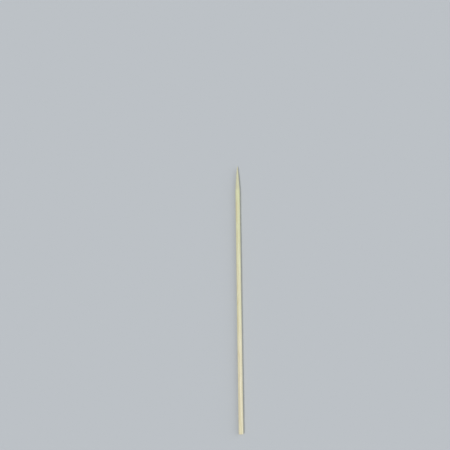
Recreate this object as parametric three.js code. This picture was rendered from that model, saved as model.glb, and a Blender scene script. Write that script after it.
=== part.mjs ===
// A round bamboo skewer for food: one stick of bamboo, ground to a long full point
// at one end and sawn square at the other. It lies on its side with the point
// towards +Y. The origin is on the surface that it lies on, below the middle of
// its length.
import * as THREE from "three";

// Sizes in millimetres.
const LENGTH = 300; // from the sawn end to the end of the point
const DIAMETER = 5; // of the round stick
const POINT_LENGTH = 31; // from the shoulder, where the grinding starts, to the end
const POINT_FULLNESS = 0.67; // power of the point's outline: 1 is a straight cone, less is fuller
const TIP_DIAMETER = 0.3; // of the small blunt end that the grinding leaves
const EDGE_BREAK = 0.25; // width of the worn edge round the sawn end

// How finely the round surfaces are drawn.
const STICK_SIDES = 48;
const POINT_RINGS = 20;

// The natural colour of dry, unpolished bamboo.
const bamboo = new THREE.MeshStandardMaterial({
  name: "bamboo",
  color: 0xe1d9b6,
  roughness: 0.62,
  metalness: 0,
});

// The ground point's radius at a distance from its very end. The outline is a power
// curve, as on a nose cone, moved along so that it has the blunt end's radius there.
function pointRadius(fromEnd) {
  const stickRadius = DIAMETER / 2;
  const tipShare = (TIP_DIAMETER / DIAMETER) ** (1 / POINT_FULLNESS);
  const share = tipShare + ((1 - tipShare) * fromEnd) / POINT_LENGTH;
  return stickRadius * share ** POINT_FULLNESS;
}

// The outline of the point from its shoulder to the middle of its blunt end. The
// rings lie closer together towards the end, where the curve is tightest.
function pointOutline(tipY) {
  const outline = [];
  for (let ring = 0; ring <= POINT_RINGS; ring += 1) {
    const fromEnd = POINT_LENGTH * (1 - ring / POINT_RINGS) ** 2;
    outline.push(new THREE.Vector2(pointRadius(fromEnd), tipY - fromEnd));
  }
  outline.push(new THREE.Vector2(0, tipY));
  return outline;
}

// The outline of the sawn end, from its middle over the worn edge to the round stick.
function sawnEndOutline(endY) {
  const stickRadius = DIAMETER / 2;
  return [
    new THREE.Vector2(0, endY),
    new THREE.Vector2(stickRadius - EDGE_BREAK, endY),
    new THREE.Vector2(stickRadius, endY + EDGE_BREAK),
  ];
}

// The whole stick is one turned solid about the Y axis. Half a side's turn puts a
// flat of the many-sided round stick level, so that it lies on the surface.
function makeStick() {
  const outline = [
    ...sawnEndOutline(-LENGTH / 2),
    ...pointOutline(LENGTH / 2),
  ];
  const halfSide = Math.PI / STICK_SIDES;
  const solid = new THREE.LatheGeometry(outline, STICK_SIDES, halfSide);
  const stick = new THREE.Mesh(solid, bamboo);
  stick.name = "bamboo_stick";
  stick.position.z = (DIAMETER / 2) * Math.cos(halfSide);
  return stick;
}

const skewer = new THREE.Group();
skewer.add(makeStick());

export default skewer;
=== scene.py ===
"""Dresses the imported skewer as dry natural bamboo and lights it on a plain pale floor."""

import math

import bmesh
import bpy
from mathutils import Matrix, Vector, noise


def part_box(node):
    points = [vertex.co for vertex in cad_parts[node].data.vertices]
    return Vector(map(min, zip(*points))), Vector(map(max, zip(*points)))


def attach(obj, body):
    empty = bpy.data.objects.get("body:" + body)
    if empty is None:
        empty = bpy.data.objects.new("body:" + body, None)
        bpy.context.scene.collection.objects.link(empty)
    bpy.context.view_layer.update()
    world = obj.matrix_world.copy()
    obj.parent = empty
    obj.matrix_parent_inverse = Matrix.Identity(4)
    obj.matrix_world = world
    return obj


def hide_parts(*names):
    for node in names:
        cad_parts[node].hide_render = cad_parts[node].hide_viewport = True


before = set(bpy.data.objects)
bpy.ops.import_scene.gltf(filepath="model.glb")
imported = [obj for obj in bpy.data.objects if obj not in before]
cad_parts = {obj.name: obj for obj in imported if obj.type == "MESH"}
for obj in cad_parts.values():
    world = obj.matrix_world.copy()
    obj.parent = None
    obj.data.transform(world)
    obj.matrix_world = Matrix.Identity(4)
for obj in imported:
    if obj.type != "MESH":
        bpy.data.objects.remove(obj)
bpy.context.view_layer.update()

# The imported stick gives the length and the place. All lengths here are in metres.
MM = 0.001
STICK_NODE = "bamboo_stick"
low_corner, high_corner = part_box(STICK_NODE)
SAWN_Y = low_corner.y
TIP_Y = high_corner.y
AXIS_HEIGHT = (low_corner.z + high_corner.z) / 2

# The round stick and its ground point, as in the part's source.
STICK_RADIUS = 2.5 * MM
POINT_LENGTH = 31 * MM
POINT_FULLNESS = 0.67
TIP_RADIUS = 0.15 * MM
SHOULDER_Y = TIP_Y - POINT_LENGTH

# The edges that sawing, grinding and handling have worn round.
SAWN_EDGE_WEAR = 0.28 * MM
TIP_EDGE_WEAR = 0.09 * MM
EDGE_ROOM = 0.32 * MM  # kept free of rings, for the sawn end's worn edge
EDGE_SEGMENTS = 4

# How finely the stick is drawn: fine enough sideways for a fibre ridge 0.3 mm wide.
SIDES = 224
FACE_CUTS = 15
STICK_CUTS = 262
POINT_CUTS = 84

# Heights of the relief that the mill, the grinding and the saw leave.
RIDGE_HEIGHT = 0.034 * MM
SINK = 0.4 * RIDGE_HEIGHT  # keeps the ridges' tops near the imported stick's side
FIBRE_HEIGHT = 0.016 * MM
SLIT_DEPTH = 0.11 * MM
OUT_OF_ROUND = 0.030 * MM
GRINDING_HEIGHT = 0.014 * MM
SAW_HEIGHT = 0.030 * MM
CHIP_DEPTH = 0.16 * MM
SHOULDER_WANDER = 1.6 * MM  # nearer to the end on one side of the stick than on another
TIP_OFFSET = 0.05 * MM  # the very end lies this far off the axis
BOW = 0.08 * MM  # half way along, the stick lies this far to the left of straight

# The bamboo's patterns, by their widths across the grain and their runs along it.
BUNDLE_SPACING = 0.69 * MM
HAIR_WIDTH = 0.077 * MM
FIBRE_WIDTH = 0.182 * MM
STREAK_WIDTH = 1.18 * MM
GRAIN_STRETCH = 100  # each streak is this much longer than it is wide
DRIFT_RUN = 62 * MM
DRIFT = 2.6 * MM  # at most, from the one side to the other
TONE_RUN = 45 * MM
SCRATCH_SPACING = 0.143 * MM
SCRATCH_LENGTH = 2 * MM
SAW_LINE_SPACING = 0.2 * MM
SAW_LINE_LENGTH = 2.9 * MM

# The photograph's camera: above the skewer, tipped a little towards the point.
CAMERA_PLACE = Vector((-0.0168, -0.1465, 0.7476))
CAMERA_TILT = math.radians(16.8)
CAMERA_TURN = math.radians(-0.465)
CAMERA_LENS = 54.6
CAMERA_SENSOR = 36

FLOOR_COLOUR = "#bdc2c7"
FLOOR_REACH = 60  # far enough for the floor to end at the horizon
WORLD_LIGHT = 0.40

# A colour Mix node's sockets, by number because its other data types share their names.
MIX_SHARE, MIX_BASE, MIX_OVER, MIX_COLOUR = 0, 6, 7, 2


def linear(hex_colour):
    """An sRGB hex colour as the linear colour with alpha that Blender's sockets hold."""
    shares = [int(hex_colour[at : at + 2], 16) / 255 for at in (1, 3, 5)]
    return [s / 12.92 if s <= 0.04045 else ((s + 0.055) / 1.055) ** 2.4 for s in shares] + [1]


def add_node(tree, kind, inputs=None, **settings):
    """Adds a node with its settings. Each input is a value, or a socket to link from."""
    node = tree.nodes.new(kind)
    for name, value in settings.items():
        setattr(node, name, value)
    for name, value in (inputs or {}).items():
        if isinstance(value, bpy.types.NodeSocket):
            tree.links.new(value, node.inputs[name])
        else:
            node.inputs[name].default_value = value
    return node


def new_material(name):
    """A material whose nodes are still to come, and its node tree."""
    material = bpy.data.materials.new(name)
    material.use_nodes = True
    material.node_tree.nodes.clear()
    return material, material.node_tree


def new_object(name, data):
    """Adds an object that holds that mesh, lamp or camera to the scene."""
    made = bpy.data.objects.new(name, data)
    bpy.context.scene.collection.objects.link(made)
    return made


def new_piece(name, bm, material):
    """Makes the bmesh an object, which stands at the origin."""
    mesh = bpy.data.meshes.new(name)
    bm.to_mesh(mesh)
    bm.free()
    mesh.materials.append(material)
    return new_object(name, mesh)


# The skewer's shape


def point_radius(from_end):
    """The ground point's radius at a distance from its very end: full, as a nose cone."""
    tip_share = (TIP_RADIUS / STICK_RADIUS) ** (1 / POINT_FULLNESS)
    share = tip_share + (1 - tip_share) * from_end / POINT_LENGTH
    return STICK_RADIUS * share**POINT_FULLNESS


def blank_stick():
    """The stick with a true round side, a sharp edge at both ends and no relief yet."""
    bm = bmesh.new()
    corners = [
        (0, SAWN_Y, 0),
        (STICK_RADIUS - EDGE_ROOM, SAWN_Y, 0),
        (STICK_RADIUS, SAWN_Y, 0),
        (STICK_RADIUS, SAWN_Y + EDGE_ROOM, 0),
        (STICK_RADIUS, SHOULDER_Y, 0),
        (TIP_RADIUS, TIP_Y, 0),
        (0, TIP_Y, 0),
    ]
    verts = [bm.verts.new(corner) for corner in corners]
    face, rim, side, stick, point, end = [bm.edges.new(pair) for pair in zip(verts, verts[1:])]
    for edge, cuts in ((face, FACE_CUTS), (stick, STICK_CUTS), (point, POINT_CUTS)):
        bmesh.ops.subdivide_edges(bm, edges=[edge], cuts=cuts)
    for vert in bm.verts:
        if SHOULDER_Y < vert.co.y < TIP_Y:
            vert.co.x = point_radius(TIP_Y - vert.co.y)
    bmesh.ops.spin(
        bm,
        geom=bm.verts[:] + bm.edges[:],
        cent=(0, 0, 0),
        axis=(0, 1, 0),
        angle=math.tau,
        steps=SIDES,
        use_merge=True,
    )
    bmesh.ops.remove_doubles(bm, verts=bm.verts, dist=1e-7)
    return bm


def wear_edge(bm, radius, y, wear):
    """Rounds the edge of that radius at y."""

    def on_edge(vert):
        off_radius = abs(math.hypot(vert.co.x, vert.co.z) - radius)
        return off_radius < 1e-6 and abs(vert.co.y - y) < 1e-6

    bmesh.ops.bevel(
        bm,
        geom=[edge for edge in bm.edges if all(on_edge(vert) for vert in edge.verts)],
        offset=wear,
        offset_type="OFFSET",
        affect="EDGES",
        segments=EDGE_SEGMENTS,
        profile=0.5,
        material=-1,
    )


def relief(seed, x, y, z, width, run):
    """Smooth noise from about -1 to 1, with waves of that width across the stick and of
    that run along it."""
    shift = Vector((seed, 1.7 * seed, 2.3 * seed))
    return 1.6 * noise.noise(Vector((x / width, y / run, z / width)) + shift)


def share_of(value, start, end):
    """How far the value is from start to end, held between 0 and 1."""
    return min(1, max(0, (value - start) / (end - start)))


def shoulder_wander(out):
    """How much longer the ground point is on that side than it mostly is."""
    return SHOULDER_WANDER * relief(51.9, out.x, 0, out.z, 1.1, 1)


def side_relief(out, place, y):
    """How far the side stands out: ridges of fibre, finer fibres, slits where soft pith
    tore out, a slight oval, and rings round the point, which was turned to grind it."""
    x, z = place.x, place.z
    ridges = RIDGE_HEIGHT * relief(11.3, x, y, z, 0.42 * MM, 60 * MM)
    fibres = FIBRE_HEIGHT * relief(4.7, x, y, z, 0.19 * MM, 24 * MM)
    slits = SLIT_DEPTH * max(0, relief(29.1, x, y, z, 0.27 * MM, 13 * MM) - 0.72)
    ground = share_of(y, SHOULDER_Y, SHOULDER_Y + 2 * MM)
    milled = (ridges + fibres - slits) * (1 - 0.5 * ground)
    rings = GRINDING_HEIGHT * ground * relief(83.1, out.x, y, out.z, 0.9, 0.75 * MM)
    oval_turn = 2 * math.atan2(out.z, out.x) + relief(71.3, 0, y, 0, 1, 90 * MM)
    return milled + rings + OUT_OF_ROUND * math.cos(oval_turn) - SINK


def face_relief(place, share):
    """How far the sawn face lies back: lines from the saw, ends of fibres and a few
    chips along its edge."""
    x, z = place.x, place.z
    lines = 0.45 * relief(17.7, x, z, 0, 3 * MM, 0.34 * MM)
    ends = 0.4 * relief(37.7, x, z, 0, 0.33 * MM, 0.33 * MM)
    chips = max(0, relief(57.7, x, z, 0, 0.5 * MM, 0.5 * MM) - 0.3) * share**6
    return SAW_HEIGHT * (1 + lines + ends) + CHIP_DEPTH * chips


def shape_surface(bm):
    """Moves the blank's surface to the real stick's."""
    for vert in bm.verts:
        x, y, z = vert.co
        radius = math.hypot(x, z)
        out = Vector((x, 0, z)) / radius if radius > 1e-7 else Vector((1, 0, 0))
        on_point = y > SHOULDER_Y - SHOULDER_WANDER
        if on_point and y < TIP_Y - 2 * TIP_EDGE_WEAR:
            from_end = (TIP_Y - y) * POINT_LENGTH / (POINT_LENGTH + shoulder_wander(out))
            radius = min(STICK_RADIUS, point_radius(from_end))
        place = out * radius
        share = radius / STICK_RADIUS
        if on_point:
            weight = min(1, 2.2 * share)
        else:
            weight = share_of(radius, STICK_RADIUS - SAWN_EDGE_WEAR, STICK_RADIUS)
        place += out * side_relief(out, place, y) * weight
        sawn = 1 - share_of(y, SAWN_Y, SAWN_Y + SAWN_EDGE_WEAR)
        back = sawn * face_relief(place, share)
        bow = BOW * math.sin(math.pi * share_of(y, SAWN_Y, TIP_Y))
        bend = TIP_OFFSET * share_of(y, SHOULDER_Y, TIP_Y) ** 2
        vert.co = place + Vector((bend - bow, y + back, -0.6 * bend))


# Bare milled bamboo: patterns in millimetres, colours and surface


def stick_place(tree):
    """Millimetres from the stick's axis, half way along it."""
    coordinates = add_node(tree, "ShaderNodeTexCoord")
    centred = add_node(
        tree,
        "ShaderNodeMapping",
        {
            "Vector": coordinates.outputs["Object"],
            "Location": (0, 0, -AXIS_HEIGHT / MM),
            "Scale": (1 / MM,) * 3,
        },
    )
    return centred.outputs["Vector"]


def fibre_place(tree, place):
    """The place among the fibres, which are not quite parallel to the stick: they drift
    by about 1 mm in 60 mm, so each comes to the surface for a few centimetres."""
    wander = add_node(
        tree, "ShaderNodeTexNoise", {"Vector": place, "Scale": MM / DRIFT_RUN, "Detail": 1.0}
    )
    either_way = add_node(
        tree,
        "ShaderNodeVectorMath",
        {0: wander.outputs["Color"], 1: (0.5, 0.5, 0.5)},
        operation="SUBTRACT",
    )
    drifted = add_node(
        tree,
        "ShaderNodeVectorMath",
        {0: either_way.outputs["Vector"], 1: (DRIFT / MM, 0, DRIFT / MM), 2: place},
        operation="MULTIPLY_ADD",
    )
    return drifted.outputs["Vector"]


def towards_skin(tree, fibres):
    """Millimetres towards the side where the culm's skin was, here the left and up."""
    skin = add_node(
        tree,
        "ShaderNodeVectorMath",
        {0: fibres, 1: (-0.94, 0, 0.34)},
        operation="DOT_PRODUCT",
    )
    return skin.outputs["Value"]


def fibre_bundles(tree, fibres, skin):
    """The hard bundles of fibre, from 0 between them to 1 in the darkest. They are 0.4 mm
    thick and 0.7 mm apart, and lie closer together towards the skin."""
    across = add_node(
        tree,
        "ShaderNodeVectorMath",
        {0: fibres, 1: (0.34, 0, 0.94)},
        operation="DOT_PRODUCT",
    )
    squared = add_node(tree, "ShaderNodeMath", {0: skin, 1: skin}, operation="MULTIPLY")
    crowded = add_node(
        tree,
        "ShaderNodeMath",
        {0: squared.outputs[0], 1: 0.09, 2: skin},
        operation="MULTIPLY_ADD",
    )
    section = add_node(
        tree, "ShaderNodeCombineXYZ", {"X": crowded.outputs[0], "Y": across.outputs["Value"]}
    )
    cells = add_node(
        tree,
        "ShaderNodeTexVoronoi",
        {
            "Vector": section.outputs["Vector"],
            "Scale": MM / BUNDLE_SPACING,
            "Randomness": 0.8,
        },
        voronoi_dimensions="2D",
    )
    inside = add_node(
        tree,
        "ShaderNodeMapRange",
        {"Value": cells.outputs["Distance"], "From Min": 0.40, "From Max": 0.20},
        interpolation_type="SMOOTHSTEP",
    )
    own_tone = add_node(tree, "ShaderNodeSeparateColor", {"Color": cells.outputs["Color"]})
    depth = add_node(
        tree,
        "ShaderNodeMapRange",
        {"Value": own_tone.outputs["Red"], "To Min": 0.25, "To Max": 0.9},
    )
    bundles = add_node(
        tree,
        "ShaderNodeMath",
        {0: inside.outputs["Result"], 1: depth.outputs["Result"]},
        operation="MULTIPLY",
    )
    return bundles.outputs[0]


def lengthwise_streaks(tree, fibres):
    """Three widths of streak: hairs under 0.1 mm, fibres of 0.2 mm, and broad ones over
    1 mm wide, which are drawn as coarse as that so that they show from a distance."""
    stretched = add_node(
        tree, "ShaderNodeMapping", {"Vector": fibres, "Scale": (1, 1 / GRAIN_STRETCH, 1)}
    ).outputs["Vector"]
    hairs = add_node(
        tree,
        "ShaderNodeTexNoise",
        {
            "Vector": stretched,
            "Scale": MM / HAIR_WIDTH,
            "Detail": 2.0,
            "Roughness": 0.5,
        },
    )
    fine = add_node(
        tree,
        "ShaderNodeTexNoise",
        {
            "Vector": stretched,
            "Scale": MM / FIBRE_WIDTH,
            "Detail": 4.0,
            "Roughness": 0.65,
        },
    )
    broad = add_node(
        tree,
        "ShaderNodeTexNoise",
        {
            "Vector": stretched,
            "Scale": MM / STREAK_WIDTH,
            "Detail": 2.0,
            "Roughness": 0.55,
        },
    )
    return hairs.outputs["Fac"], fine.outputs["Fac"], broad.outputs["Fac"]


def pith_colour(tree, place, along, skin):
    """Cream pith, warmer and darker towards the skin on the left and up, partly a real tone of
    the bamboo's skin side and partly painted shade of that edge of the stick; greener and
    darker towards the point, which is painted shade of light that falls off towards the point,
    with a slow random wander in where it starts.
    """
    # Partly painted shade: the side towards the skin, left and up, is mixed towards a darker,
    # warmer cream. This is partly the skin side's own tone and partly the stick's darker left
    # edge under the light.
    skin_tone_and_painted_shade = add_node(
        tree,
        "ShaderNodeMapRange",
        {"Value": skin, "From Min": -0.6, "From Max": 2.6, "To Max": 0.6},
    )
    cream = add_node(
        tree,
        "ShaderNodeMix",
        {
            MIX_SHARE: skin_tone_and_painted_shade.outputs["Result"],
            MIX_BASE: linear("#f6f2d9"),
            MIX_OVER: linear("#eae1c4"),
        },
        data_type="RGBA",
    )
    # Painted shade: towards the point the pith is mixed towards a darker, greener cream, which
    # stands in for light that falls off towards the point. The slow noise moves where this
    # starts at random.
    slow = add_node(
        tree, "ShaderNodeTexNoise", {"Vector": place, "Scale": MM / TONE_RUN, "Detail": 2.0}
    )
    wandering = add_node(
        tree,
        "ShaderNodeMath",
        {0: slow.outputs["Fac"], 1: 150.0, 2: along},
        operation="MULTIPLY_ADD",
    )
    point_tint_and_painted_falloff = add_node(
        tree,
        "ShaderNodeMapRange",
        {"Value": wandering.outputs[0], "From Min": -20, "From Max": 190},
    )
    toned = add_node(
        tree,
        "ShaderNodeMix",
        {
            MIX_SHARE: point_tint_and_painted_falloff.outputs["Result"],
            MIX_BASE: cream.outputs[MIX_COLOUR],
            MIX_OVER: linear("#dbe3ba"),
        },
        data_type="RGBA",
    )
    return toned.outputs[MIX_COLOUR]


def streaked_colour(tree, pith, bundles, hairs, fine, broad):
    """The pith with the browner streaks and bundles over it. Hairs are dark where they
    lie in a bundle, and hardly show in the pith."""
    broad_share = add_node(
        tree,
        "ShaderNodeMapRange",
        {"Value": broad, "From Min": 0.45, "From Max": 0.63, "To Max": 0.85},
        interpolation_type="SMOOTHSTEP",
    )
    fine_share = add_node(
        tree,
        "ShaderNodeMapRange",
        {"Value": fine, "From Min": 0.44, "From Max": 0.80, "To Max": 0.55},
    )
    hair_share = add_node(
        tree,
        "ShaderNodeMapRange",
        {"Value": hairs, "From Min": 0.56, "From Max": 0.72, "To Max": 0.7},
    )
    hair_depth = add_node(
        tree, "ShaderNodeMapRange", {"Value": bundles, "To Min": 0.25, "To Max": 1.0}
    )
    dark_hairs = add_node(
        tree,
        "ShaderNodeMath",
        {0: hair_share.outputs["Result"], 1: hair_depth.outputs["Result"]},
        operation="MULTIPLY",
    )
    colour = pith
    for share, over in (
        (broad_share.outputs["Result"], "#dcd7b1"),
        (bundles, "#c6b286"),
        (fine_share.outputs["Result"], "#cfc59a"),
        (dark_hairs.outputs[0], "#a3895a"),
    ):
        mix = add_node(
            tree,
            "ShaderNodeMix",
            {MIX_SHARE: share, MIX_BASE: colour, MIX_OVER: linear(over)},
            data_type="RGBA",
        )
        colour = mix.outputs[MIX_COLOUR]
    return colour


def ground_scratches(tree, place, along):
    """Where the point is ground, from 0 to 1, and the fine scratches round it."""
    ground = add_node(
        tree,
        "ShaderNodeMapRange",
        {"Value": along, "From Min": SHOULDER_Y / MM - 1, "From Max": SHOULDER_Y / MM + 4},
        interpolation_type="SMOOTHSTEP",
    )
    squeezed = add_node(
        tree,
        "ShaderNodeMapping",
        {
            "Vector": place,
            "Scale": (MM / SCRATCH_LENGTH, MM / SCRATCH_SPACING, MM / SCRATCH_LENGTH),
        },
    )
    scratches = add_node(
        tree,
        "ShaderNodeTexNoise",
        {"Vector": squeezed.outputs["Vector"], "Scale": 1.0, "Detail": 3.0},
    )
    return ground.outputs["Result"], scratches.outputs["Fac"]


def saw_marks(tree, place, along):
    """Where the end is sawn, from 0 to 1, and the saw's straight lines."""
    sawn = add_node(
        tree,
        "ShaderNodeMapRange",
        {"Value": along, "From Min": SAWN_Y / MM + 0.24, "From Max": SAWN_Y / MM + 0.08},
    )
    squeezed = add_node(
        tree,
        "ShaderNodeMapping",
        {
            "Vector": place,
            "Scale": (MM / SAW_LINE_LENGTH, MM / SAW_LINE_LENGTH, MM / SAW_LINE_SPACING),
        },
    )
    lines = add_node(
        tree,
        "ShaderNodeTexNoise",
        {"Vector": squeezed.outputs["Vector"], "Scale": 1.0, "Detail": 2.0},
    )
    return sawn.outputs["Result"], lines.outputs["Fac"]


def worked_colour(tree, colour, area, marks, least, most, over):
    """The colour with another one over it in an area, more of it where the tool's marks
    are strong."""
    strength = add_node(
        tree,
        "ShaderNodeMapRange",
        {"Value": marks, "From Min": 0.3, "From Max": 0.7, "To Min": least, "To Max": most},
    )
    share = add_node(
        tree, "ShaderNodeMath", {0: area, 1: strength.outputs["Result"]}, operation="MULTIPLY"
    )
    mix = add_node(
        tree,
        "ShaderNodeMix",
        {MIX_SHARE: share.outputs[0], MIX_BASE: colour, MIX_OVER: linear(over)},
        data_type="RGBA",
    )
    return mix.outputs[MIX_COLOUR]


def surface_relief(tree, bundles, fine, ground, scratches):
    """Bundles and fibres stand a little proud of the pith, and the point is scratched."""
    fibres = add_node(
        tree, "ShaderNodeMath", {0: bundles, 1: 0.8, 2: fine}, operation="MULTIPLY_ADD"
    )
    height = add_node(
        tree,
        "ShaderNodeMath",
        {0: scratches, 1: ground, 2: fibres.outputs[0]},
        operation="MULTIPLY_ADD",
    )
    bump = add_node(
        tree,
        "ShaderNodeBump",
        {"Height": height.outputs[0], "Strength": 0.8, "Distance": 0.05 * MM},
    )
    return bump.outputs["Normal"]


def surface_roughness(tree, bundles, fine):
    """The pith is matt, and the hard bundles have a little satin."""
    smoothed = add_node(
        tree, "ShaderNodeMath", {0: bundles, 1: -0.35, 2: fine}, operation="MULTIPLY_ADD"
    )
    roughness = add_node(
        tree,
        "ShaderNodeMapRange",
        {"Value": smoothed.outputs[0], "To Min": 0.5, "To Max": 0.74},
    )
    return roughness.outputs["Result"]


def bamboo_material():
    """Dry bamboo, milled round and left bare: matt cream pith, streaked lengthwise by
    harder, browner bundles of fibre that end as dots on the sawn face. The ground point
    is duller and greyer, and the end grain browner, than the milled side."""
    material, tree = new_material("bare_milled_bamboo")
    place = stick_place(tree)
    along = add_node(tree, "ShaderNodeSeparateXYZ", {"Vector": place}).outputs["Y"]
    fibres = fibre_place(tree, place)
    skin = towards_skin(tree, fibres)
    bundles = fibre_bundles(tree, fibres, skin)
    hairs, fine, broad = lengthwise_streaks(tree, fibres)
    ground, scratches = ground_scratches(tree, place, along)
    sawn, saw_lines = saw_marks(tree, place, along)
    colour = pith_colour(tree, place, along, skin)
    colour = streaked_colour(tree, colour, bundles, hairs, fine, broad)
    colour = worked_colour(tree, colour, ground, scratches, least=0.3, most=0.6, over="#cbccb4")
    colour = worked_colour(tree, colour, sawn, saw_lines, least=0.15, most=0.5, over="#b99f6d")
    surface = add_node(
        tree,
        "ShaderNodeBsdfPrincipled",
        {
            "Base Color": colour,
            "Roughness": surface_roughness(tree, bundles, fine),
            "IOR": 1.53,
            "Normal": surface_relief(tree, bundles, fine, ground, scratches),
        },
    )
    add_node(tree, "ShaderNodeOutputMaterial", {"Surface": surface.outputs["BSDF"]})
    return material


def make_skewer():
    """The whole skewer is one piece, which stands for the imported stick."""
    bm = blank_stick()
    wear_edge(bm, STICK_RADIUS, SAWN_Y, SAWN_EDGE_WEAR)
    wear_edge(bm, TIP_RADIUS, TIP_Y, TIP_EDGE_WEAR)
    shape_surface(bm)
    bmesh.ops.translate(bm, verts=bm.verts, vec=(0, 0, AXIS_HEIGHT))
    bmesh.ops.recalc_face_normals(bm, faces=bm.faces)
    for face in bm.faces:
        face.smooth = True
    skewer = new_piece("bamboo_skewer", bm, bamboo_material())
    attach(skewer, "root")
    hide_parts(STICK_NODE)


# The studio


def make_floor():
    """A plain floor of matt studio paper, which gives no shine at all."""
    material, tree = new_material("matt_studio_paper")
    surface = add_node(tree, "ShaderNodeBsdfDiffuse", {"Color": linear(FLOOR_COLOUR)})
    add_node(tree, "ShaderNodeOutputMaterial", {"Surface": surface.outputs["BSDF"]})
    bm = bmesh.new()
    bmesh.ops.create_grid(bm, x_segments=1, y_segments=1, size=FLOOR_REACH)
    new_piece("floor", bm, material)


def add_soft_light(name, direction, spread, strength):
    """A wide, even light that comes from that direction. Its spread in degrees says how
    soft its shadows are."""
    lamp = bpy.data.lights.new(name, "SUN")
    lamp.angle = math.radians(spread)
    lamp.energy = strength
    light = new_object(name, lamp)
    light.rotation_euler = (-Vector(direction)).to_track_quat("-Z", "Y").to_euler()


def make_world():
    """Even light from all round, and behind the floor a backdrop in its colour."""
    world = bpy.data.worlds.new("studio")
    world.use_nodes = True
    tree = world.node_tree
    tree.nodes.clear()
    rays = add_node(tree, "ShaderNodeLightPath")
    seen = rays.outputs["Is Camera Ray"]
    for kind in ("Is Glossy Ray", "Is Transmission Ray"):
        either = add_node(
            tree, "ShaderNodeMath", {0: seen, 1: rays.outputs[kind]}, operation="MAXIMUM"
        )
        seen = either.outputs[0]
    light = add_node(
        tree, "ShaderNodeBackground", {"Color": (1, 1, 1, 1), "Strength": WORLD_LIGHT}
    )
    backdrop = add_node(
        tree, "ShaderNodeBackground", {"Color": linear(FLOOR_COLOUR), "Strength": 1.0}
    )
    mix = add_node(
        tree,
        "ShaderNodeMixShader",
        {0: seen, 1: light.outputs["Background"], 2: backdrop.outputs["Background"]},
    )
    add_node(tree, "ShaderNodeOutputWorld", {"Surface": mix.outputs["Shader"]})
    bpy.context.scene.world = world


def make_camera():
    """A camera with the photograph's view of the whole skewer."""
    lens = bpy.data.cameras.new("camera")
    lens.lens = CAMERA_LENS
    lens.sensor_width = CAMERA_SENSOR
    lens.clip_start = 10 * MM
    camera = new_object("camera", lens)
    turn = Matrix.Rotation(CAMERA_TURN, 4, "Z") @ Matrix.Rotation(CAMERA_TILT, 4, "X")
    camera.matrix_world = Matrix.Translation(CAMERA_PLACE) @ turn
    bpy.context.scene.camera = camera


make_skewer()
make_floor()
add_soft_light("key_light", direction=(-0.42, -0.32, 0.9), spread=16, strength=1.6)
add_soft_light("fill_light", direction=(0.9, 0.1, 0.55), spread=60, strength=0.9)
make_world()
make_camera()
bpy.context.scene.view_settings.view_transform = "Standard"
